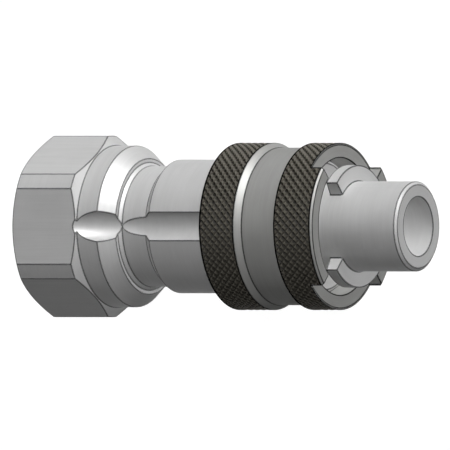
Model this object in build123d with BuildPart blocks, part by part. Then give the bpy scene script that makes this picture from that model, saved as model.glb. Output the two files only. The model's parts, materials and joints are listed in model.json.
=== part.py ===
from build123d import *
import os
from math import cos, radians, sin, tan

# A male quick coupling half, in millimetres. X is the axis, towards the nose, from the centre of the
# hexagon's end face. The part lies on one flat of its hexagon, with +Z up.

# Hexagon end, turned from hexagon bar
hex_across_flats = 38.1
hex_corner_cut = 1.03
hex_length = 17.25
hex_chamfer_angle = 30
hex_end_face_step = 0.55

# Collar, cone and neck between the hexagon and the barrel
collar_step = 0.38
collar_length = 5.2
cone_length = 3.42
cone_drop = 2.98
neck_shoulder = 0.81
neck_depth = 1.49
neck_length = 7.03

# Barrel, which the sleeve slides on, turned down so far that the sleeve is as wide as the hexagon
barrel_step = 3.61
barrel_length = 39.67
barrel_end_chamfer_length = 0.42
barrel_end_chamfer_depth = 0.82

# Nose tube and its two bayonet lugs
nose_radius = 10.42
nose_length = 25.05
nose_chamfer_length = 0.6
nose_chamfer_depth = 0.76
nose_relief_depth = 0.2
nose_bore_radius = 6.84
lug_height = 3.74
lug_root_thickness = 3.43
lug_back_draft = 0.57
lug_setback = 5.68
lug_span = 89.5

# The keyways, lugs and ears are turned about the axis by this angle from the hexagon's flat
key_roll = -30

# Keyways in the barrel, milled with a disc cutter that has a half-round edge
keyway_depth = 2.39
keyway_edge_radius = 3.6
cutter_radius = 28.9
cutter_stop = 1.1

# Pipe thread port, drilled to the thread's root
thread_root_radius = 13.22
thread_length = 16.3
port_chamfer = 0.98
relief_depth = 0.38
relief_length = 2.3
port_floor_radius = 12.0

# Bore of the check valve
guide_bore_radius = 11.0
guide_bore_depth = 34.0
chamber_radius = 9.9
seat_setback = 3.9

# Sliding sleeve
sleeve_length = 30.07
sleeve_travel = 7.6
sleeve_land_clearance = 0.41
sleeve_land_length = 9.0
sleeve_edge_chamfer = 0.15
rear_band_width = 9.15
band_ramp_length = 1.65
front_band_width = 9.72
groove_depth = 1.13
ear_length = 3.37
ear_span = 90
ear_chamfer_length = 0.45
ear_chamfer_depth = 0.75
spring_room = 1.56
spring_chamber_wall = 1.2
bush_seat_depth = 0.4

# Pieces that hold and guide the sleeve
sleeve_ring_inset = 0.8
sleeve_ring_thickness = 1.1
sleeve_ring_depth = 0.65
sleeve_ring_inner_clearance = 0.5
sleeve_ring_opening = 24
bush_length = 4.0
bush_barrel_clearance = 0.12
fit_clearance = 0.05
key_width = 6.0
key_bottom_clearance = 0.2
key_end_clearance = 0.05
key_reach = 0.8
stop_gap = 0.1
stop_ring_thickness = 1.1
stop_ring_groove_depth = 1.0
stop_ring_height = 2.2
stop_ring_opening = 16
washer_thickness = 0.8
washer_wall = 1.3
spring_wire = 1.1
spring_turns = 4.5

# Check valve
poppet_radius = 8.2
poppet_length = 5.0
poppet_seat_gap = 0.15
poppet_front_stem_radius = 2.5
poppet_rear_stem_radius = 3.0
poppet_pilot_radius = 4.1
poppet_pilot_length = 2.2
poppet_tip_setback = 9.5
poppet_tip_round = 1.0
poppet_rear_overhang = 1.8
seal_section = 1.5
seal_seat_gap = 0.05
guide_length = 4.0
guide_hub_radius = 5.6
guide_rim_wall = 1.1
guide_spoke_width = 2.4
guide_spokes = 3
valve_ring_thickness = 1.2
valve_ring_depth = 0.8
valve_ring_wall = 1.6
valve_ring_opening = 50
valve_ring_lug_radius = 1.35
valve_ring_hole_radius = 0.6
valve_spring_wire = 1.1
valve_spring_clearance = 0.25
valve_spring_turns = 7

# Radii that follow from these
hex_corner_radius = hex_across_flats / 2 / cos(radians(30)) - hex_corner_cut
hex_end_face_radius = hex_across_flats / 2 - hex_end_face_step
collar_radius = hex_across_flats / 2 - collar_step
cone_end_radius = collar_radius - cone_drop
barrel_radius = hex_across_flats / 2 - barrel_step
neck_radius = barrel_radius - neck_depth
step_radius = neck_radius + neck_shoulder
keyway_bottom_radius = barrel_radius - keyway_depth
relief_radius = thread_root_radius + relief_depth
lug_radius = nose_radius + lug_height
nose_relief_radius = nose_radius - nose_relief_depth
lug_root_radius = (nose_radius + nose_bore_radius) / 2
spring_chamber_radius = barrel_radius + spring_room
groove_radius = spring_chamber_radius + spring_chamber_wall
sleeve_radius = groove_radius + groove_depth
sleeve_land_radius = barrel_radius + sleeve_land_clearance
bush_bore_radius = spring_chamber_radius + bush_seat_depth
key_radius = bush_bore_radius + key_reach
stop_ring_inner = barrel_radius - stop_ring_groove_depth

# Places along the axis
collar_front = hex_length + collar_length
cone_front = collar_front + cone_length
neck_back = cone_front + neck_shoulder
neck_front = cone_front + neck_length
barrel_back = neck_front + neck_depth
barrel_front = neck_front + barrel_length
lug_back = barrel_front + lug_setback
lug_front = lug_back + lug_root_thickness
nose_front = barrel_front + nose_length
ear_front = barrel_front + sleeve_travel
sleeve_back = ear_front - sleeve_length
ear_back = ear_front - ear_length
groove_front = ear_front - ear_chamfer_length - front_band_width
land_back = ear_front - sleeve_land_length
sleeve_ring_back = sleeve_back + sleeve_ring_inset
bush_back = sleeve_ring_back + sleeve_ring_thickness
bush_front = bush_back + bush_length
stop_ring_back = bush_front + stop_gap
stop_ring_front = stop_ring_back + stop_ring_thickness
washer_front = stop_ring_front + washer_thickness
seat_front = barrel_front - seat_setback
seat_back = seat_front - (chamber_radius - nose_bore_radius)
guide_back = guide_bore_depth - guide_length
valve_ring_back = guide_back - valve_ring_thickness

os.makedirs("parts", exist_ok=True)


def turn(points, mode=Mode.ADD):
    """Turns a half section of (x, radius) points about the axis."""
    with BuildSketch(Plane.XZ) as section:
        with BuildLine():
            Polyline(*points, close=True)
        make_face()
    revolve(section.sketch, axis=Axis.X, mode=mode)


def ring_sector(inner, outer, middle, span):
    """Sketches a part of a ring, with radial ends, about a direction in degrees from +Y towards +Z."""
    start = middle - span / 2
    with BuildSketch(mode=Mode.PRIVATE) as sector:
        with BuildLine():
            outside = CenterArc((0, 0), outer, start, span)
            inside = CenterArc((0, 0), inner, start, span)
            Line(outside @ 0, inside @ 0)
            Line(outside @ 1, inside @ 1)
        make_face()
    return sector.sketch


def key_plane(x, side):
    """The plane across the axis at x whose own X points at one keyway, for a side of 1 or -1."""
    towards = (0, side * cos(radians(key_roll)), side * sin(radians(key_roll)))
    return Plane(origin=(x, 0, 0), x_dir=towards, z_dir=(1, 0, 0))


# Body: hexagon, collar, barrel and nose in one piece
chamfer_slope = tan(radians(hex_chamfer_angle))
rear_chamfer_end = (hex_corner_radius - hex_end_face_radius) * chamfer_slope
front_chamfer_start = hex_length - (hex_corner_radius - collar_radius) * chamfer_slope
with BuildPart() as body:
    with BuildSketch(Plane.YZ):
        RegularPolygon(hex_across_flats / 2, 6, major_radius=False)
    extrude(amount=hex_length)
    turn(
        [
            (0, 0),
            (0, hex_end_face_radius),
            (rear_chamfer_end, hex_corner_radius),
            (front_chamfer_start, hex_corner_radius),
            (hex_length, collar_radius),
            (hex_length, 0),
        ],
        mode=Mode.INTERSECT,
    )
    turn(
        [
            (hex_length, 0),
            (hex_length, collar_radius),
            (collar_front, collar_radius),
            (cone_front, cone_end_radius),
            (cone_front, step_radius),
            (neck_back, neck_radius),
            (neck_front, neck_radius),
            (barrel_back, barrel_radius),
            (barrel_front - barrel_end_chamfer_length, barrel_radius),
            (barrel_front, barrel_radius - barrel_end_chamfer_depth),
            (barrel_front, nose_relief_radius),
            (lug_front, nose_relief_radius),
            (lug_front, nose_radius),
            (nose_front - nose_chamfer_length, nose_radius),
            (nose_front, nose_radius - nose_chamfer_depth),
            (nose_front, 0),
        ]
    )
    # Bayonet lugs, half way round from the keyways, thinner towards their tips
    for lug_side in (90, 270):
        with BuildSketch(Plane.YZ.offset(lug_back)):
            add(ring_sector(lug_root_radius, lug_radius, key_roll + lug_side, lug_span))
        extrude(amount=lug_root_thickness)
    turn(
        [
            (lug_back, nose_relief_radius),
            (lug_back, lug_radius),
            (lug_back + lug_back_draft, lug_radius),
        ],
        mode=Mode.SUBTRACT,
    )
    # Keyways: the disc's straight run along the barrel, and the scoop where it stopped
    for side in (1, -1):
        cutter_middle = keyway_bottom_radius + cutter_radius
        tooth_start = keyway_bottom_radius + keyway_edge_radius
        cutter_plane = key_plane(neck_front + cutter_stop, side)
        with BuildSketch(cutter_plane) as tooth:
            with Locations((tooth_start, 0)):
                Circle(keyway_edge_radius)
            with Locations(((tooth_start + cutter_middle) / 2, 0)):
                Rectangle(cutter_middle - tooth_start, 2 * keyway_edge_radius)
        extrude(amount=barrel_front - neck_front, mode=Mode.SUBTRACT)
        arbor = Axis(cutter_plane.from_local_coords((cutter_middle, 0, 0)), cutter_plane.y_dir)
        revolve(tooth.sketch, axis=arbor, mode=Mode.SUBTRACT)
    # Thread port, valve bore, seat and nose bore
    turn(
        [
            (0, 0),
            (0, thread_root_radius + port_chamfer),
            (port_chamfer, thread_root_radius),
            (thread_length, thread_root_radius),
            (thread_length, relief_radius),
            (thread_length + relief_length, relief_radius),
            (thread_length + relief_length, port_floor_radius),
            (thread_length + relief_length + port_floor_radius - guide_bore_radius, guide_bore_radius),
            (guide_bore_depth, guide_bore_radius),
            (guide_bore_depth, chamber_radius),
            (seat_back, chamber_radius),
            (seat_front, nose_bore_radius),
            (nose_front, nose_bore_radius),
            (nose_front, 0),
        ],
        mode=Mode.SUBTRACT,
    )
    # Grooves for the valve's retaining ring and the sleeve's stop ring
    turn(
        [
            (valve_ring_back, 0),
            (valve_ring_back, guide_bore_radius + valve_ring_depth),
            (guide_back, guide_bore_radius + valve_ring_depth),
            (guide_back, 0),
        ],
        mode=Mode.SUBTRACT,
    )
    turn(
        [
            (stop_ring_back, stop_ring_inner),
            (stop_ring_back, collar_radius),
            (stop_ring_front, collar_radius),
            (stop_ring_front, stop_ring_inner),
        ],
        mode=Mode.SUBTRACT,
    )
body.part.label = "body"
export_step(body.part, "parts/body.step")

# Sliding sleeve, with two ears round the keyway sides and two faces cut back between them
key_slot_width = key_width + 2 * fit_clearance
key_slot_radius = key_radius + fit_clearance
sleeve_ring_outer = bush_bore_radius + sleeve_ring_depth
with BuildPart() as sleeve:
    turn(
        [
            (sleeve_back, bush_bore_radius),
            (sleeve_back, sleeve_radius - sleeve_edge_chamfer),
            (sleeve_back + sleeve_edge_chamfer, sleeve_radius),
            (sleeve_back + rear_band_width, sleeve_radius),
            (sleeve_back + rear_band_width + band_ramp_length, groove_radius),
            (groove_front, groove_radius),
            (groove_front, sleeve_radius),
            (ear_front - ear_chamfer_length, sleeve_radius),
            (ear_front, sleeve_radius - ear_chamfer_depth),
            (ear_front, sleeve_land_radius),
            (land_back, sleeve_land_radius),
            (land_back, spring_chamber_radius),
            (bush_front, spring_chamber_radius),
            (bush_front, bush_bore_radius),
        ]
    )
    for face_side in (90, 270):
        with BuildSketch(Plane.YZ.offset(ear_back)):
            add(ring_sector(nose_radius, hex_corner_radius, key_roll + face_side, 180 - ear_span))
        extrude(amount=2 * ear_length, mode=Mode.SUBTRACT)
    # Groove of the rear retaining ring, and the two slots that the guide keys slip into from behind
    turn(
        [
            (sleeve_ring_back, nose_radius),
            (sleeve_ring_back, sleeve_ring_outer),
            (bush_back, sleeve_ring_outer),
            (bush_back, nose_radius),
        ],
        mode=Mode.SUBTRACT,
    )
    for side in (1, -1):
        with BuildSketch(key_plane(sleeve_back, side)):
            with Locations((key_slot_radius / 2, 0)):
                Rectangle(key_slot_radius, key_slot_width)
        extrude(amount=bush_front - sleeve_back, mode=Mode.SUBTRACT)
sleeve.part.label = "sleeve"
export_step(sleeve.part, "parts/sleeve.step")

# Guide bush, seated in the sleeve's rear, slotted for the keys
with BuildPart() as guide_bush:
    turn(
        [
            (bush_back, barrel_radius + bush_barrel_clearance),
            (bush_back, bush_bore_radius - fit_clearance),
            (bush_front, bush_bore_radius - fit_clearance),
            (bush_front, barrel_radius + bush_barrel_clearance),
        ]
    )
    for side in (1, -1):
        with BuildSketch(key_plane(bush_back, side)):
            with Locations((key_slot_radius / 2, 0)):
                Rectangle(key_slot_radius, key_slot_width)
        extrude(amount=bush_length - sleeve_ring_thickness, mode=Mode.SUBTRACT)
guide_bush.part.label = "guide_bush"
export_step(guide_bush.part, "parts/guide_bush.step")

# Guide keys, whose half-round feet run in the keyways
key_foot_radius = keyway_edge_radius - key_bottom_clearance
for number, side in ((1, 1), (2, -1)):
    with BuildPart() as guide_key:
        with BuildSketch(key_plane(bush_back + key_end_clearance, side)):
            with Locations((keyway_bottom_radius + keyway_edge_radius, 0)):
                Circle(key_foot_radius)
            with Locations((key_radius / 2, 0)):
                Rectangle(key_radius, key_width, mode=Mode.INTERSECT)
        extrude(amount=bush_length - sleeve_ring_thickness - 2 * key_end_clearance)
    guide_key.part.label = f"guide_key_{number}"
    export_step(guide_key.part, f"parts/guide_key_{number}.step")

# Retaining ring in the sleeve's rear
with BuildPart() as sleeve_ring:
    with BuildSketch(Plane.YZ.offset(sleeve_ring_back)):
        add(
            ring_sector(
                barrel_radius + sleeve_ring_inner_clearance,
                sleeve_ring_outer - fit_clearance,
                key_roll + 270,
                360 - sleeve_ring_opening,
            )
        )
    extrude(amount=sleeve_ring_thickness)
sleeve_ring.part.label = "sleeve_ring"
export_step(sleeve_ring.part, "parts/sleeve_ring.step")

# Stop ring in the barrel's groove, which the bush meets when the sleeve is forward
with BuildPart() as stop_ring:
    with BuildSketch(Plane.YZ.offset(stop_ring_back)):
        add(
            ring_sector(
                stop_ring_inner + fit_clearance,
                stop_ring_inner + stop_ring_height,
                key_roll + 270,
                360 - stop_ring_opening,
            )
        )
    extrude(amount=stop_ring_thickness)
stop_ring.part.label = "stop_ring"
export_step(stop_ring.part, "parts/stop_ring.step")

# Washer between the stop ring and the spring
with BuildPart() as spring_washer:
    turn(
        [
            (stop_ring_front, barrel_radius + fit_clearance),
            (stop_ring_front, barrel_radius + fit_clearance + washer_wall),
            (washer_front, barrel_radius + fit_clearance + washer_wall),
            (washer_front, barrel_radius + fit_clearance),
        ]
    )
spring_washer.part.label = "spring_washer"
export_step(spring_washer.part, "parts/spring_washer.step")


def coil(back, front, radius, wire, turns):
    """Winds a spring about the axis between two faces."""
    length = front - back - wire
    path = Helix(
        pitch=length / turns,
        height=length,
        radius=radius,
        center=(back + wire / 2, 0, 0),
        direction=(1, 0, 0),
    )
    with BuildSketch(Plane(origin=path @ 0, z_dir=path % 0), mode=Mode.PRIVATE) as section:
        Circle(wire / 2)
    sweep(section.sketch, path=path, is_frenet=True)


# Spring that pushes the sleeve forward
spring_radius = (barrel_radius + spring_chamber_radius) / 2
with BuildPart() as sleeve_spring:
    coil(washer_front, land_back, spring_radius, spring_wire, spring_turns)
sleeve_spring.part.label = "sleeve_spring"
export_step(sleeve_spring.part, "parts/sleeve_spring.step")

# Poppet: a cone on the seat's line, a stem towards the nose and a stem through the guide. The cone's
# points lie on lines of constant x + radius, as the seat's do.
cone_sum = seat_front + nose_bore_radius - poppet_seat_gap * 2**0.5
poppet_shoulder = cone_sum - poppet_radius
poppet_back = poppet_shoulder - poppet_length
poppet_tip = nose_front - poppet_tip_setback
seal_radius = seal_section / 2
seal_sum = seat_front + nose_bore_radius - (seal_radius + seal_seat_gap) * 2**0.5
seal_x = poppet_shoulder + seal_radius / 4
seal_middle_radius = seal_sum - seal_x
with BuildPart() as poppet:
    turn(
        [
            (valve_ring_back - poppet_rear_overhang, 0),
            (valve_ring_back - poppet_rear_overhang, poppet_rear_stem_radius),
            (poppet_back - poppet_pilot_length, poppet_rear_stem_radius),
            (poppet_back - poppet_pilot_length, poppet_pilot_radius),
            (poppet_back, poppet_pilot_radius),
            (poppet_back, poppet_radius),
            (poppet_shoulder, poppet_radius),
            (cone_sum - poppet_front_stem_radius, poppet_front_stem_radius),
            (poppet_tip - poppet_tip_round, poppet_front_stem_radius),
            (poppet_tip, poppet_front_stem_radius - poppet_tip_round),
            (poppet_tip, 0),
        ]
    )
    turn(
        [
            (seal_x - seal_radius, seal_middle_radius - seal_radius),
            (seal_x - seal_radius, poppet_radius + seal_section),
            (seal_x + seal_radius, poppet_radius + seal_section),
            (seal_x + seal_radius, seal_middle_radius - seal_radius),
        ],
        mode=Mode.SUBTRACT,
    )
poppet.part.label = "poppet"
export_step(poppet.part, "parts/poppet.step")

# O-ring in the poppet's cone
with BuildPart() as poppet_seal:
    with BuildSketch(Plane.XZ):
        with Locations((seal_x, seal_middle_radius)):
            Circle(seal_radius)
    revolve(axis=Axis.X)
poppet_seal.part.label = "poppet_seal"
export_step(poppet_seal.part, "parts/poppet_seal.step")

# Valve guide: a hub on spokes in a rim, seated on the step of the valve bore
with BuildPart() as valve_guide:
    guide_rim_radius = guide_bore_radius - fit_clearance
    with BuildSketch(Plane.YZ.offset(guide_back)):
        Circle(guide_rim_radius)
        Circle(guide_rim_radius - guide_rim_wall, mode=Mode.SUBTRACT)
        Circle(guide_hub_radius)
        with PolarLocations(guide_rim_radius / 2, guide_spokes, start_angle=90):
            Rectangle(guide_rim_radius - guide_rim_wall, guide_spoke_width)
        Circle(poppet_rear_stem_radius + fit_clearance, mode=Mode.SUBTRACT)
    extrude(amount=guide_length)
valve_guide.part.label = "valve_guide"
export_step(valve_guide.part, "parts/valve_guide.step")

# Retaining ring behind the guide, open, with a drilled lug at each end
valve_ring_outer = guide_bore_radius + valve_ring_depth - fit_clearance
valve_ring_inner = valve_ring_outer - valve_ring_wall
with BuildPart() as valve_ring:
    with BuildSketch(Plane.YZ.offset(valve_ring_back)):
        add(ring_sector(valve_ring_inner, valve_ring_outer, 270, 360 - valve_ring_opening))
        with PolarLocations(valve_ring_inner, 2, 90 - valve_ring_opening / 2, valve_ring_opening, endpoint=True):
            Circle(valve_ring_lug_radius)
        with PolarLocations(valve_ring_inner, 2, 90 - valve_ring_opening / 2, valve_ring_opening, endpoint=True):
            Circle(valve_ring_hole_radius, mode=Mode.SUBTRACT)
    extrude(amount=valve_ring_thickness)
valve_ring.part.label = "valve_ring"
export_step(valve_ring.part, "parts/valve_ring.step")

# Spring that closes the poppet
valve_spring_radius = poppet_pilot_radius + valve_spring_clearance + valve_spring_wire / 2
with BuildPart() as valve_spring:
    coil(guide_bore_depth, poppet_back, valve_spring_radius, valve_spring_wire, valve_spring_turns)
valve_spring.part.label = "valve_spring"
export_step(valve_spring.part, "parts/valve_spring.step")
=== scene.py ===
"""A male quick coupling half: finishes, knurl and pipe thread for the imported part, in a plain studio."""
import json
from math import cos, pi, radians, sin

import bmesh
import bpy
from mathutils import Matrix, Vector


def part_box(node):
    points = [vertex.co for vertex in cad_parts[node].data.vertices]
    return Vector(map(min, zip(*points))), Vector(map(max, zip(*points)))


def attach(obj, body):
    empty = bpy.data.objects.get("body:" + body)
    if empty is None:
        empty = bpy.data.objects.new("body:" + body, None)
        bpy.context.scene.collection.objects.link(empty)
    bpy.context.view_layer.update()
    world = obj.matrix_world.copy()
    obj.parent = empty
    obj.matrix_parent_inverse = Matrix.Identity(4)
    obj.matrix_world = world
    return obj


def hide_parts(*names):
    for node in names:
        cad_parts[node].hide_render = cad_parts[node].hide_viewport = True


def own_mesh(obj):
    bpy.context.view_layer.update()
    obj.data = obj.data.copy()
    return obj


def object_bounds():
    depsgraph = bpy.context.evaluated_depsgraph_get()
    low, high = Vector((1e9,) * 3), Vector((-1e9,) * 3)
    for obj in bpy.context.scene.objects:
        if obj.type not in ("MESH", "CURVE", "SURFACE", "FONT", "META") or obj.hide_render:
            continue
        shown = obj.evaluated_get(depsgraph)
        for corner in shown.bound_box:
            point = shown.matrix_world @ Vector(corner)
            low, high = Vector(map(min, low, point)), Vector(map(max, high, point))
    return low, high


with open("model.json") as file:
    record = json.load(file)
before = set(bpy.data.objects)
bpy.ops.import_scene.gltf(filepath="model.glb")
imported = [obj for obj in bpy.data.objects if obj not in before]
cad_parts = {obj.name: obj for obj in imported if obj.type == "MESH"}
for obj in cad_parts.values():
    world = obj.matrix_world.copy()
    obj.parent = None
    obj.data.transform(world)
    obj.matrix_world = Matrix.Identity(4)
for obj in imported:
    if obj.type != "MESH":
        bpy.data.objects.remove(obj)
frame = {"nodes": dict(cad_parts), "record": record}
cad_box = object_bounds()

MM = 0.001

# The photograph's frame: its width in pixels, and where the axis and the hexagon's end face lie in it
PHOTO_WIDTH = 450
PIXEL_LENGTH = 0.231 * MM
AXIS_ROW = 226.45
END_FACE_COLUMN = 52.4
CAMERA_DIRECTION = Vector((0.5, -0.75, 0.433))
CAMERA_RIGHT = Vector((0.866, 0.433, -0.25))
CAMERA_UP = Vector((0, 0.5, 0.866))
CAMERA_DISTANCE = 0.6
CAMERA_NEAR = 0.01
CAMERA_FAR = 10

# Lamps, each with the direction that its light comes from. The main light is two lamps, one without shadows
MAIN_DIRECTION = Vector((0.152, 0.087, 0.256))
MAIN_STRENGTH = 1.34
MAIN_SHADOWLESS_SHARE = 0.65
FRONT_DIRECTION = Vector((0.098, -0.07, 0.158))
FRONT_STRENGTH = 1.18
BACK_DIRECTION = Vector((-1, 0, 0))
BACK_STRENGTH = 0.35
LAMP_SPREAD = radians(14)
SHINE_DIRECTION = Vector((0.536, 0.117, 0.834))
SHINE_STRENGTH = 14
SHINE_SPREAD = radians(36)

# Sky and floor, which look white and light the part little
SKY_LEVEL = 0.07
FLOOR_WIDTH = 4
FLOOR_DARK = (0.05, 0.05, 0.05)
FLOOR_PALE = (0.9, 0.9, 0.9)
FLOOR_GRAIN = 400
FLOOR_GRAIN_DEPTH = 0.02 * MM
FLOOR_GLOW = 1.2
FLOOR_GLOW_SHARE = 0.72

# Meshes: edges that turn further than the angle are sharp, and points nearer than the distance are one
SHARP_ANGLE = radians(20)
MERGE_DISTANCE = 1e-7

# Turned outline of the sleeve, from its rear face and its axis
SLEEVE_SEGMENTS = 288
EDGE_CHAMFER = 0.15 * MM
RIM_WIDTH = 0.18 * MM
REAR_BAND_WIDTH = 9.15 * MM
RAMP_LENGTH = 1.65 * MM
FRONT_BAND_WIDTH = 9.61 * MM
GROOVE_DEPTH = 1.13 * MM
EAR_LENGTH = 3.37 * MM
EAR_CHAMFER_LENGTH = 0.56 * MM
EAR_CHAMFER_DEPTH = 0.56 * MM
LAND_LENGTH = 9.0 * MM
LAND_RADIUS = 15.85 * MM
CHAMBER_RADIUS = 17.0 * MM
BUSH_SEAT_RADIUS = 17.4 * MM
RING_GROOVE_DEPTH = 0.65 * MM

# Cuts in the sleeve. Angles about the axis run from +Y towards +Z
KEYWAY_ANGLE = radians(-30)
KEY_SLOT_RADIUS = 18.25 * MM
KEY_SLOT_WIDTH = 6.1 * MM
EAR_SPAN = radians(90)
SECTOR_STEP = radians(3)
CUTTER_OVERLAP = 2 * MM

# A rim's outer face looks at least this far across the axis and this far away from it, as cosines
ACROSS_LIMIT = 0.5
OUTWARD_LIMIT = 0.9

# Diamond knurl
KNURL_PITCH = 1.73 * MM
KNURL_PITCH_AROUND = 1.83 * MM
KNURL_DEPTH = 0.34 * MM
KNURL_FLANK = 0.38 * MM
KNURL_RIM_FLANK = 0.2 * MM
KNURL_BACKING = 0.25 * MM

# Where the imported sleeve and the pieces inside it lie, and from them the bands and the ears
SLEEVE_BACK, SLEEVE_FRONT = (corner.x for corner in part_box("sleeve"))
RING_BACK, RING_FRONT = (corner.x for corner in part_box("sleeve_ring"))
BUSH_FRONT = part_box("guide_bush")[1].x
KNURL_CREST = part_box("sleeve")[1].z
KNURL_ROOT = KNURL_CREST - KNURL_DEPTH
REAR_BAND_BACK = SLEEVE_BACK + EDGE_CHAMFER
REAR_BAND_FRONT = SLEEVE_BACK + REAR_BAND_WIDTH
FRONT_BAND_FRONT = SLEEVE_FRONT - EAR_CHAMFER_LENGTH
FRONT_BAND_BACK = FRONT_BAND_FRONT - FRONT_BAND_WIDTH
EARS_BACK = SLEEVE_FRONT - EAR_LENGTH

# Pipe thread in the port
THREAD_PITCH = 1.814 * MM
THREAD_HEIGHT = 1.16 * MM
THREAD_ROOT_RADIUS = 13.22 * MM
THREAD_LENGTH = 16.0 * MM
THREAD_CREST_WIDTH = 0.25 * MM
THREAD_STEPS = 96
THREAD_BACKING = 0.04 * MM

# Painted dark edges and painted corner shade: their reach, and the turn of the surface, as 1 - cosine, where
# they begin and are full.
# The film is a dull coat over the whole body
EDGE_REACH = 0.5 * MM
EDGE_SAMPLES = 8
EDGE_TURN = (0.001, 0.006)
PAINTED_EDGE_SHADE_TONE = 0.08
FILM_ROUGHNESS = 0.85

# Hexagon, for the lengthwise marks on its flats: half a flat's angle, and how the marks fade at its borders
HEXAGON_FLAT = 19.05 * MM
HEXAGON_LENGTH = 17.25 * MM
HALF_FLAT_ANGLE = radians(30)
FLAT_FADE_START = 0.06 * MM
FLAT_FADE_END = 0.02 * MM

# Where the nose tube's relief ends, in a step too shallow to get painted dark edges or rounding
RELIEF_END = 81.68 * MM
RELIEF_RADIUS = 10.6 * MM
RELIEF_FADE = 0.05 * MM

# Marks of machining: the scales of their noise, in ripples per metre, how little it changes round the axis
# and along it, and how much each mark counts
FINE_RINGS = 7000
FINE_RING_DRIFT = 0.0002
COARSE_RINGS = 900
RING_DRIFT = 0.001
FINE_DRAWN_MARKS = 5000
COARSE_DRAWN_MARKS = 700
DRAWN_STRETCH = 0.02
CLOUDS = 110
FINE_TONE = 0.35
COARSE_TONE = 0.3
CLOUD_TONE = 0.35
TONE_RANGE = (0.3, 0.7)
COARSE_ROUGHNESS = 0.14
CLOUD_ROUGHNESS = 0.1
FINE_MARK_SHARE = 0.7
MARK_DEPTH = 0.004 * MM

# Spring wire
WIRE_GRAIN = 2500
WIRE_CLOUDS = 300
WIRE_GRAIN_SHARE = 0.6

# Knurl's finish: the tone at its root, darker partly as painted shade, and the range of squared slope over
# which the flanks of one set of grooves get painted shade
KNURL_GRAIN = 900
KNURL_GRAIN_TONE = 0.25
KNURL_ROOT_TONE = 0.6
KNURL_SHADED_SLOPES = (0.08, 0.5)
KNURL_PAINTED_FLANK_SHADE = 0.88

# Rubber, and what the wire, the knurl and the rubber share
RUBBER_GRAIN = 600
GRAIN_ROUGHNESS = 0.2
GRAIN_DEPTH = 0.01 * MM

# The Mix node has sockets for each kind of value. These are its sockets for colours
MIX_SHARE, MIX_LOW, MIX_HIGH, MIX_RESULT = 0, 6, 7, 2


class Signal:
    """A socket of a node tree, with arithmetic that adds Math nodes."""

    def __init__(self, nodes, socket):
        self.nodes = nodes
        self.socket = socket

    def math(self, operation, *others, clamp=False):
        inputs = dict(enumerate((self, *others)))
        return self.nodes.node("ShaderNodeMath", {"operation": operation, "use_clamp": clamp}, inputs)

    def __add__(self, other):
        return self.math("ADD", other)

    __radd__ = __add__

    def __sub__(self, other):
        return self.math("SUBTRACT", other)

    def __rsub__(self, other):
        return self * -1 + other

    def __mul__(self, other):
        return self.math("MULTIPLY", other)

    __rmul__ = __mul__

    def between(self, low, high):
        """0 below low, 1 above high and smooth between."""
        settings = {"interpolation_type": "SMOOTHSTEP"}
        inputs = {"Value": self, "From Min": low, "From Max": high}
        return self.nodes.node("ShaderNodeMapRange", settings, inputs)

    def swing(self, width):
        """A noise from 0 to 1, made to vary by a width about 0."""
        return (self - 0.5) * width


class Nodes:
    """A node tree, with one way to add a node to it."""

    def __init__(self, tree):
        self.tree = tree

    def node(self, kind, settings=None, inputs=None, output=0):
        """Adds a node, applies its settings, then sets or links its sockets, and gives one output."""
        made = self.tree.nodes.new(kind)
        for name, value in (settings or {}).items():
            setattr(made, name, value)
        for name, value in (inputs or {}).items():
            self.feed(value, made.inputs[name])
        return Signal(self, made.outputs[output])

    def feed(self, value, socket):
        """Links a signal to a socket, or sets a number or a colour on it."""
        if isinstance(value, Signal):
            self.tree.links.new(value.socket, socket)
        elif socket.type == "RGBA":
            socket.default_value = (*value, 1)
        else:
            socket.default_value = value

    def split(self, vector):
        """The three parts of a vector."""
        made = self.node("ShaderNodeSeparateXYZ", inputs={"Vector": vector}).socket.node
        return [Signal(self, socket) for socket in made.outputs]

    def pale_rays(self):
        """1 for the rays that should find a white studio: those of the camera, of gloss and through glass."""
        kinds = ("Is Camera Ray", "Is Glossy Ray", "Is Transmission Ray")
        camera, glossy, through = (self.node("ShaderNodeLightPath", output=kind) for kind in kinds)
        return (camera + glossy).math("ADD", through, clamp=True)


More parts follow.
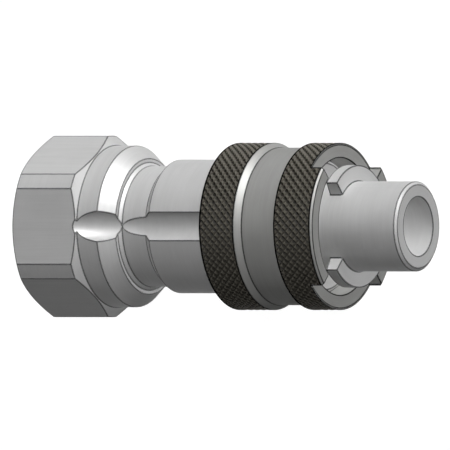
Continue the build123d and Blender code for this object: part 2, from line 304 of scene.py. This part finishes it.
class Finish(Nodes):
    """One procedural material, on the object's own coordinates."""

    def __init__(self, name):
        self.material = bpy.data.materials.new(name)
        self.material.use_nodes = True
        super().__init__(self.material.node_tree)
        self.shader = self.tree.nodes["Principled BSDF"]
        self.place = self.node("ShaderNodeTexCoord", output="Object")
        self.x, self.y, self.z = self.split(self.place)
        across = self.vector(0, self.y, self.z)
        self.radius = self.node("ShaderNodeVectorMath", {"operation": "LENGTH"}, {0: across}, "Value")
        self.turn = self.z.math("ARCTAN2", self.y)

    def vector(self, x, y, z):
        return self.node("ShaderNodeCombineXYZ", inputs={"X": x, "Y": y, "Z": z})

    def rings(self, drift):
        """The place for a noise of rings, which changes quickly except round the axis."""
        return self.vector(self.x, self.radius, self.turn * drift)

    def noise(self, place, scale, detail=2):
        inputs = {"Vector": place, "Scale": scale, "Detail": detail}
        return self.node("ShaderNodeTexNoise", inputs=inputs)

    def mix(self, share, low, high):
        """A colour between two colours."""
        inputs = {MIX_SHARE: share, MIX_LOW: low, MIX_HIGH: high}
        return self.node("ShaderNodeMix", {"data_type": "RGBA"}, inputs, MIX_RESULT)

    def rounded(self, reach):
        """The surface's direction, as if its edges were just broken."""
        return self.node("ShaderNodeBevel", {"samples": EDGE_SAMPLES}, {"Radius": reach})

    def edges(self, rounded):
        """1 along the edges and inner corners, and 0 on the open faces."""
        flat = self.node("ShaderNodeNewGeometry", output="Normal")
        directions = {0: rounded, 1: flat}
        along = self.node("ShaderNodeVectorMath", {"operation": "DOT_PRODUCT"}, directions, "Value")
        return (1 - along).between(*EDGE_TURN)

    def bump(self, height, distance, rounded=None):
        inputs = {"Height": height, "Distance": distance}
        if rounded is not None:
            inputs["Normal"] = rounded
        return self.node("ShaderNodeBump", inputs=inputs)

    def surface(self, colour, metallic, roughness, normal, shine=0.5, film=0.0):
        """Feeds the shader. Shine is the specular level and film a dull coat of oil, the same all over."""
        values = {
            "Base Color": colour,
            "Metallic": metallic,
            "Roughness": roughness,
            "Normal": normal,
            "Specular IOR Level": shine,
            "Coat Weight": film,
            "Coat Roughness": FILM_ROUGHNESS,
        }
        for name, value in values.items():
            self.feed(value, self.shader.inputs[name])
        return self.material


def hexagon_flats(finish):
    """1 on the six flats of the body's hexagon, and 0 elsewhere."""
    from_corner = finish.turn.math("PINGPONG", HALF_FLAT_ANGLE)
    out = finish.radius * (HALF_FLAT_ANGLE - from_corner).math("COSINE")
    on_flat = out.between(HEXAGON_FLAT - FLAT_FADE_START, HEXAGON_FLAT - FLAT_FADE_END)
    return on_flat * (1 - finish.x.between(HEXAGON_LENGTH, HEXAGON_LENGTH + FLAT_FADE_END))


def relief_step(finish):
    """1 about the step where the nose tube's relief ends, between the lugs and in line with the ears."""
    along = (finish.x - RELIEF_END).math("ABSOLUTE")
    near = 1 - along.between(EDGE_REACH, EDGE_REACH + RELIEF_FADE)
    near = near * (1 - finish.radius.between(RELIEF_RADIUS, RELIEF_RADIUS + RELIEF_FADE))
    to_keyways = (finish.y * cos(KEYWAY_ANGLE) + finish.z * sin(KEYWAY_ANGLE)).math("ABSOLUTE")
    return near * (to_keyways - finish.radius * cos(EAR_SPAN / 2)).between(0, RELIEF_FADE)


def machined_metal(name, dark, light, metallic, roughness, shine=0.5, film=0.0, of_body=False):
    """Turned metal, with the lathe's rings, painted dark edges and painted shade in inner corners. The body's
    flats have lengthwise marks.
    """
    finish = Finish(name)
    fine = finish.noise(finish.rings(FINE_RING_DRIFT), FINE_RINGS, detail=3)
    coarse = finish.noise(finish.rings(RING_DRIFT), COARSE_RINGS)
    cloud = finish.noise(finish.place, CLOUDS, detail=3)
    reach = EDGE_REACH
    if of_body:
        flat = hexagon_flats(finish)
        drawn = finish.vector(finish.x * DRAWN_STRETCH, finish.y, finish.z)
        fine = fine * (1 - flat) + finish.noise(drawn, FINE_DRAWN_MARKS, detail=3) * flat
        coarse = coarse * (1 - flat) + finish.noise(drawn, COARSE_DRAWN_MARKS, detail=3) * flat
        reach = (1 - relief_step(finish)) * EDGE_REACH
    rounded = finish.rounded(reach)
    tone = fine * FINE_TONE + coarse * COARSE_TONE + cloud * CLOUD_TONE
    unshaded = finish.mix(tone.between(*TONE_RANGE), dark, light)
    # Painted dark lines along the edges, and painted shade in the inner corners
    painted_edge_colour = tuple(part * PAINTED_EDGE_SHADE_TONE for part in dark)
    marks = fine * FINE_MARK_SHARE + coarse * (1 - FINE_MARK_SHARE)
    return finish.surface(
        colour=finish.mix(finish.edges(rounded), unshaded, painted_edge_colour),
        metallic=metallic,
        roughness=coarse.swing(COARSE_ROUGHNESS) + cloud.swing(CLOUD_ROUGHNESS) + roughness,
        normal=finish.bump(marks, MARK_DEPTH, rounded),
        shine=shine,
        film=film,
    )


def wire_finish():
    """Drawn spring wire, lightly oiled."""
    finish = Finish("spring_wire")
    grain = finish.noise(finish.rings(RING_DRIFT), WIRE_GRAIN, detail=3)
    cloud = finish.noise(finish.place, WIRE_CLOUDS)
    tone = grain * WIRE_GRAIN_SHARE + cloud * (1 - WIRE_GRAIN_SHARE)
    return finish.surface(
        colour=finish.mix(tone, (0.20, 0.20, 0.21), (0.40, 0.40, 0.42)),
        metallic=0.7,
        roughness=cloud.swing(GRAIN_ROUGHNESS) + 0.32,
        normal=finish.bump(grain, MARK_DEPTH),
    )


def knurl_finish():
    """Oil-blacked knurl, lighter on its crests from wear and darker at its roots as painted shade, with
    painted shade on the flanks of one set of its grooves.
    """
    finish = Finish("knurl_black")
    facing = finish.node("ShaderNodeNewGeometry", output="Normal")
    along, over, up = finish.split(facing)
    around = (up * finish.y - over * finish.z) * (1 / KNURL_CREST)
    slope = along - around
    # Painted shade: the flanks of one set of grooves, picked by which way they face, turn dark
    flank = (slope * slope).between(*KNURL_SHADED_SLOPES)
    height = finish.radius.between(KNURL_ROOT, KNURL_CREST)
    grain = finish.noise(finish.place, KNURL_GRAIN, detail=3)
    # Lighter on the crests from wear, darker at the roots as painted shade, and darker on the painted-shade
    # flanks
    tone = (height * (1 - KNURL_ROOT_TONE) + KNURL_ROOT_TONE) * (1 - flank * KNURL_PAINTED_FLANK_SHADE)
    return finish.surface(
        colour=finish.mix(tone + grain.swing(KNURL_GRAIN_TONE), (0.008, 0.007, 0.005), (0.215, 0.2, 0.168)),
        metallic=0.0,
        roughness=grain.swing(GRAIN_ROUGHNESS) + 0.5,
        normal=finish.bump(grain, GRAIN_DEPTH),
        shine=0.02,
    )


def rubber_finish():
    """Smooth black rubber."""
    finish = Finish("seal_rubber")
    grain = finish.noise(finish.place, RUBBER_GRAIN)
    return finish.surface(
        colour=finish.mix(grain, (0.015, 0.015, 0.015), (0.03, 0.03, 0.03)),
        metallic=0.0,
        roughness=grain.swing(GRAIN_ROUGHNESS) + 0.55,
        normal=finish.bump(grain, GRAIN_DEPTH),
    )


body_steel = machined_metal(
    "body_steel", dark=(0.51, 0.51, 0.51), light=(0.57, 0.57, 0.57), metallic=0.11, roughness=0.47,
    shine=0.0, film=1.0, of_body=True,
)
sleeve_steel = machined_metal(
    "sleeve_steel", dark=(0.35, 0.35, 0.34), light=(0.40, 0.40, 0.39), metallic=0.125, roughness=0.52,
    shine=0.0,
)
valve_steel = machined_metal(
    "valve_steel", dark=(0.46, 0.46, 0.46), light=(0.54, 0.54, 0.54), metallic=0.4, roughness=0.32
)
bronze = machined_metal(
    "bronze", dark=(0.40, 0.25, 0.11), light=(0.52, 0.34, 0.16), metallic=0.75, roughness=0.35
)
blacked_steel = machined_metal(
    "blacked_steel", dark=(0.028, 0.028, 0.03), light=(0.05, 0.05, 0.052), metallic=0.4, roughness=0.45
)
knurl_rim = machined_metal(
    "knurl_rim", dark=(0.006, 0.006, 0.005), light=(0.012, 0.011, 0.010), metallic=0.0, roughness=0.5,
    shine=0.0,
)
spring_wire = wire_finish()


def turned(points, steps, closed):
    """Spins a line of (x, radius) points once about the part's axis. A closed line makes a solid."""
    bm = bmesh.new()
    line = [bm.verts.new((x, 0, radius)) for x, radius in points]
    ends = line[1:] + line[:1] if closed else line[1:]
    edges = [bm.edges.new(pair) for pair in zip(line, ends)]
    bmesh.ops.spin(
        bm, geom=line + edges, cent=(0, 0, 0), axis=(1, 0, 0), angle=2 * pi, steps=steps, use_merge=True
    )
    bmesh.ops.remove_doubles(bm, verts=bm.verts, dist=MERGE_DISTANCE)
    bmesh.ops.recalc_face_normals(bm, faces=bm.faces)
    return bm


def sector(bm, back, front, inner, outer, middle, span):
    """Adds a solid piece of a ring, centred on an angle."""
    corners = ((back, inner), (front, inner), (front, outer), (back, outer))
    start = middle - span / 2
    verts = [bm.verts.new((x, radius * cos(start), radius * sin(start))) for x, radius in corners]
    face = bm.faces.new(verts)
    steps = max(1, round(span / SECTOR_STEP))
    bmesh.ops.spin(bm, geom=[face], cent=(0, 0, 0), axis=(1, 0, 0), angle=span, steps=steps)


def piece(name, bm, material):
    """Makes an object of a finished bmesh, smooth except at its sharp edges."""
    mesh = bpy.data.meshes.new(name)
    for face in bm.faces:
        face.smooth = True
    bm.to_mesh(mesh)
    bm.free()
    mesh.set_sharp_from_angle(angle=SHARP_ANGLE)
    mesh.materials.append(material)
    made = bpy.data.objects.new(name, mesh)
    bpy.context.scene.collection.objects.link(made)
    return made


def cut(made, cutter_bm):
    """Takes a cutter's shape out of a piece."""
    bmesh.ops.recalc_face_normals(cutter_bm, faces=cutter_bm.faces)
    cutter = piece("cutter", cutter_bm, made.data.materials[0])
    boolean = made.modifiers.new("cut", "BOOLEAN")
    boolean.operation = "DIFFERENCE"
    boolean.solver = "EXACT"
    boolean.object = cutter
    graph = bpy.context.evaluated_depsgraph_get()
    mesh = bpy.data.meshes.new_from_object(made.evaluated_get(graph))
    mesh.set_sharp_from_angle(angle=SHARP_ANGLE)
    made.modifiers.clear()
    made.data = mesh
    bpy.data.objects.remove(cutter)


def between_ears(back, front, inner, outer, margin):
    """The two sectors between the sleeve's ears, wider at each side by a margin."""
    bm = bmesh.new()
    for side in (radians(90), radians(270)):
        sector(bm, back, front, inner, outer, KEYWAY_ANGLE + side, pi - EAR_SPAN + 2 * margin / outer)
    bmesh.ops.recalc_face_normals(bm, faces=bm.faces)
    return bm


def front_cutter(margin):
    """The room between the ears, as far back as the cut-back faces and a margin behind them."""
    return between_ears(
        EARS_BACK - margin, SLEEVE_FRONT + CUTTER_OVERLAP, LAND_RADIUS - CUTTER_OVERLAP,
        KNURL_CREST + CUTTER_OVERLAP, margin,
    )


def key_cutter():
    """A bar through the sleeve's rear, which leaves the two slots that the guide keys slip into."""
    cutter = bmesh.new()
    bmesh.ops.create_cube(cutter, size=1)
    length = BUSH_FRONT - SLEEVE_BACK + CUTTER_OVERLAP
    bmesh.ops.scale(cutter, vec=(length, 2 * KEY_SLOT_RADIUS, KEY_SLOT_WIDTH), verts=cutter.verts)
    bmesh.ops.translate(cutter, vec=(BUSH_FRONT - length / 2, 0, 0), verts=cutter.verts)
    bmesh.ops.rotate(cutter, matrix=Matrix.Rotation(KEYWAY_ANGLE, 3, "X"), verts=cutter.verts)
    return cutter


def band_outline(back, front):
    """A band that is cut down to the knurl's root, between two plain rims."""
    return [
        (back, KNURL_CREST),
        (back + RIM_WIDTH, KNURL_CREST),
        (back + RIM_WIDTH, KNURL_ROOT),
        (front - RIM_WIDTH, KNURL_ROOT),
        (front - RIM_WIDTH, KNURL_CREST),
        (front, KNURL_CREST),
    ]


def sleeve_outline():
    """Half section of the sleeve, all the way round from its rear corner."""
    groove = KNURL_CREST - GROOVE_DEPTH
    land_back = SLEEVE_FRONT - LAND_LENGTH
    ring_groove = BUSH_SEAT_RADIUS + RING_GROOVE_DEPTH
    return [
        (SLEEVE_BACK, BUSH_SEAT_RADIUS),
        (SLEEVE_BACK, KNURL_CREST - EDGE_CHAMFER),
        *band_outline(REAR_BAND_BACK, REAR_BAND_FRONT),
        (REAR_BAND_FRONT + RAMP_LENGTH, groove),
        (FRONT_BAND_BACK, groove),
        *band_outline(FRONT_BAND_BACK, FRONT_BAND_FRONT),
        (SLEEVE_FRONT, KNURL_CREST - EAR_CHAMFER_DEPTH),
        (SLEEVE_FRONT, LAND_RADIUS),
        (land_back, LAND_RADIUS),
        (land_back, CHAMBER_RADIUS),
        (BUSH_FRONT, CHAMBER_RADIUS),
        (BUSH_FRONT, BUSH_SEAT_RADIUS),
        (RING_FRONT, BUSH_SEAT_RADIUS),
        (RING_FRONT, ring_groove),
        (RING_BACK, ring_groove),
        (RING_BACK, BUSH_SEAT_RADIUS),
    ]


def on_band(face):
    """Whether a face of the sleeve lies on one of the bands."""
    x, radius = face.center.x, face.center.yz.length
    along_band = x < REAR_BAND_FRONT or FRONT_BAND_BACK < x < FRONT_BAND_FRONT
    return along_band and radius > KNURL_ROOT - RIM_WIDTH


def looks_outward(face):
    """Whether a face looks away from the axis."""
    across = face.normal.yz
    outward = across.normalized().dot(face.center.yz.normalized())
    return across.length > ACROSS_LIMIT and outward > OUTWARD_LIMIT


def blacken(made, chosen):
    """Gives the chosen faces of a piece the bands' black."""
    made.data.materials.append(knurl_rim)
    for face in made.data.polygons:
        if chosen(face):
            face.material_index = 1


def make_shell():
    """The sleeve with its bands bare, and plain rims along them."""
    shell = piece("sleeve_shell", turned(sleeve_outline(), SLEEVE_SEGMENTS, closed=True), sleeve_steel)
    cut(shell, front_cutter(0))
    cut(shell, key_cutter())
    blacken(shell, on_band)
    return shell


def knurled_band(name, back, front, material):
    """A ring of raised diamonds between two crossing sets of grooves, inside a band's rims."""
    start, end = back + RIM_WIDTH, front - RIM_WIDTH
    around = round(2 * pi * KNURL_ROOT / KNURL_PITCH_AROUND)
    rows = round((end - start) / KNURL_PITCH)
    line = [(start + (end - start) * row / rows, KNURL_ROOT) for row in range(rows + 1)]
    bm = turned(line, around, closed=False)
    # The squares turn into diamonds: each is poked, and then the squares' own edges go
    squares = [edge for edge in bm.edges if not edge.is_boundary]
    bmesh.ops.poke(bm, faces=bm.faces)
    bmesh.ops.dissolve_edges(bm, edges=squares)
    diamonds = list(bm.faces)
    # The backing closes the ring from inside
    rims = [edge for edge in bm.edges if edge.is_boundary]
    made = bmesh.ops.extrude_edge_only(bm, edges=rims)
    inner = [item for item in made["geom"] if isinstance(item, bmesh.types.BMVert)]
    share = (KNURL_ROOT - KNURL_BACKING) / KNURL_ROOT
    bmesh.ops.scale(bm, vec=(1, share, share), verts=inner)
    loops = [item for item in made["geom"] if isinstance(item, bmesh.types.BMEdge)]
    bmesh.ops.bridge_loops(bm, edges=[edge for edge in loops if edge.is_boundary])
    bmesh.ops.recalc_face_normals(bm, faces=bm.faces)
    # The half diamonds along the rims have three corners, and get a narrower flank
    for corners, flank in ((3, KNURL_RIM_FLANK), (4, KNURL_FLANK)):
        faces = [face for face in diamonds if len(face.verts) == corners]
        bmesh.ops.inset_individual(bm, faces=faces, thickness=flank, depth=KNURL_DEPTH, use_even_offset=True)
    return piece(name, bm, material)


def make_knurls():
    """The two knurled bands. The front one stops at the ears' rims."""
    knurl = knurl_finish()
    rear = knurled_band("rear_knurl", REAR_BAND_BACK, REAR_BAND_FRONT, knurl)
    front = knurled_band("front_knurl", FRONT_BAND_BACK, FRONT_BAND_FRONT, knurl)
    cut(front, front_cutter(RIM_WIDTH))
    return rear, front


def make_ear_rims():
    """Plain rims beside the ears and along the cut-back faces, where the front knurl stops."""
    sides = between_ears(
        EARS_BACK - RIM_WIDTH, FRONT_BAND_FRONT, KNURL_ROOT - KNURL_BACKING, KNURL_CREST, RIM_WIDTH
    )
    rims = piece("ear_rims", sides, sleeve_steel)
    cut(rims, front_cutter(0))
    blacken(rims, looks_outward)
    return rims


def make_sleeve():
    """The knurled sleeve, in four pieces that slide together."""
    shell = make_shell()
    for made in (shell, *make_knurls(), make_ear_rims()):
        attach(made, "sleeve")
    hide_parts("sleeve")


def make_thread():
    """The ridge of the pipe thread, wound inside the port."""
    bm = bmesh.new()
    half_base = (THREAD_PITCH - THREAD_CREST_WIDTH) / 2
    crest = THREAD_ROOT_RADIUS - THREAD_HEIGHT
    base = THREAD_ROOT_RADIUS + THREAD_BACKING
    start = THREAD_PITCH / 2
    outline = (
        (start - half_base, base),
        (start - THREAD_CREST_WIDTH / 2, crest),
        (start + THREAD_CREST_WIDTH / 2, crest),
        (start + half_base, base),
    )
    face = bm.faces.new([bm.verts.new((x, 0, radius)) for x, radius in outline])
    turns = (THREAD_LENGTH - THREAD_PITCH) / THREAD_PITCH
    steps = round(turns * THREAD_STEPS)
    bmesh.ops.spin(
        bm, geom=[face], cent=(0, 0, 0), axis=(1, 0, 0), dvec=(turns * THREAD_PITCH / steps, 0, 0),
        angle=2 * pi * turns, steps=steps,
    )
    bmesh.ops.recalc_face_normals(bm, faces=bm.faces)
    thread = piece("pipe_thread", bm, body_steel)
    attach(thread, "body")


def dress_nodes():
    """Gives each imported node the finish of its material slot."""
    finishes = {
        "body_steel": body_steel,
        "sleeve_steel": sleeve_steel,
        "bronze": bronze,
        "key_steel": valve_steel,
        "ring_steel": blacked_steel,
        "spring_steel": spring_wire,
        "valve_steel": valve_steel,
        "seal_rubber": rubber_finish(),
    }
    for entry in frame["record"]["subparts"]:
        node = frame["nodes"][entry["node"]]
        node.data.materials.clear()
        node.data.materials.append(finishes[entry["material_slot"]])


def make_springs():
    """Welded copies of the springs' coils, carried with the body."""
    for joint in frame["record"]["behaviour"]["joints"]:
        for spring in joint["deforming_nodes"]:
            name = spring["node"]
            bm = bmesh.new()
            bm.from_mesh(frame["nodes"][name].data)
            bmesh.ops.remove_doubles(bm, verts=bm.verts, dist=MERGE_DISTANCE)
            coil = piece(name + "_coil", bm, spring_wire)
            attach(coil, "body")
            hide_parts(name)
            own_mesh(coil)


def add_camera():
    """An orthographic camera at the photograph's angle and scale."""
    data = bpy.data.cameras.new("camera")
    data.type = "ORTHO"
    data.ortho_scale = PHOTO_WIDTH * PIXEL_LENGTH
    data.clip_start = CAMERA_NEAR
    data.clip_end = CAMERA_FAR
    middle = PHOTO_WIDTH / 2
    along_axis = (middle - END_FACE_COLUMN) * PIXEL_LENGTH / CAMERA_RIGHT.x
    above_axis = (AXIS_ROW - middle) * PIXEL_LENGTH
    target = Vector((along_axis, 0, 0)) + CAMERA_UP * above_axis
    camera = bpy.data.objects.new("camera", data)
    turn = Matrix((CAMERA_RIGHT, CAMERA_UP, CAMERA_DIRECTION)).transposed().to_4x4()
    camera.matrix_world = Matrix.Translation(target + CAMERA_DIRECTION * CAMERA_DISTANCE) @ turn
    bpy.context.scene.collection.objects.link(camera)
    bpy.context.scene.camera = camera


def add_lamp(name, direction, strength, spread=LAMP_SPREAD, shadowed=False, gloss_only=False):
    """A broad, distant light that comes from a direction."""
    sun = bpy.data.lights.new(name, "SUN")
    sun.energy = strength
    sun.angle = spread
    sun.use_shadow = shadowed
    lamp = bpy.data.objects.new(name, sun)
    lamp.rotation_mode = "QUATERNION"
    lamp.rotation_quaternion = direction.to_track_quat("Z", "Y")
    lamp.visible_diffuse = not gloss_only
    bpy.context.scene.collection.objects.link(lamp)


def add_sky():
    """A white studio for the camera and for gloss, with little light of its own."""
    world = bpy.data.worlds.new("studio")
    bpy.context.scene.world = world
    world.use_nodes = True
    sky = Nodes(world.node_tree)
    background = world.node_tree.nodes["Background"]
    sky.feed((1, 1, 1), background.inputs["Color"])
    sky.feed(sky.pale_rays() * (1 - SKY_LEVEL) + SKY_LEVEL, background.inputs["Strength"])


def add_floor():
    """A floor that looks white, keeps the part's shadow and throws little light back."""
    finish = Finish("floor")
    pale = finish.pale_rays()
    finish.surface(
        colour=finish.mix(pale, FLOOR_DARK, FLOOR_PALE),
        metallic=0.0,
        roughness=1.0,
        normal=finish.bump(finish.noise(finish.place, FLOOR_GRAIN), FLOOR_GRAIN_DEPTH),
        shine=0.0,
    )
    glow = finish.node("ShaderNodeEmission", inputs={"Color": (1, 1, 1), "Strength": FLOOR_GLOW})
    shader = Signal(finish, finish.shader.outputs[0])
    blend = finish.node("ShaderNodeMixShader", inputs={0: pale * FLOOR_GLOW_SHARE, 1: shader, 2: glow})
    finish.feed(blend, finish.tree.nodes["Material Output"].inputs["Surface"])
    bm = bmesh.new()
    bmesh.ops.create_grid(bm, x_segments=1, y_segments=1, size=FLOOR_WIDTH / 2)
    bmesh.ops.translate(bm, vec=(0, 0, cad_box[0].z), verts=bm.verts)
    piece("floor", bm, finish.material)


dress_nodes()
make_sleeve()
make_thread()
make_springs()
add_floor()
add_sky()
add_lamp("main", MAIN_DIRECTION, MAIN_STRENGTH * (1 - MAIN_SHADOWLESS_SHARE), shadowed=True)
add_lamp("main_shadowless", MAIN_DIRECTION, MAIN_STRENGTH * MAIN_SHADOWLESS_SHARE)
add_lamp("front", FRONT_DIRECTION, FRONT_STRENGTH)
add_lamp("back", BACK_DIRECTION, BACK_STRENGTH)
add_lamp("shine", SHINE_DIRECTION, SHINE_STRENGTH, spread=SHINE_SPREAD, gloss_only=True)
add_camera()
bpy.context.scene.view_settings.view_transform = "Standard"
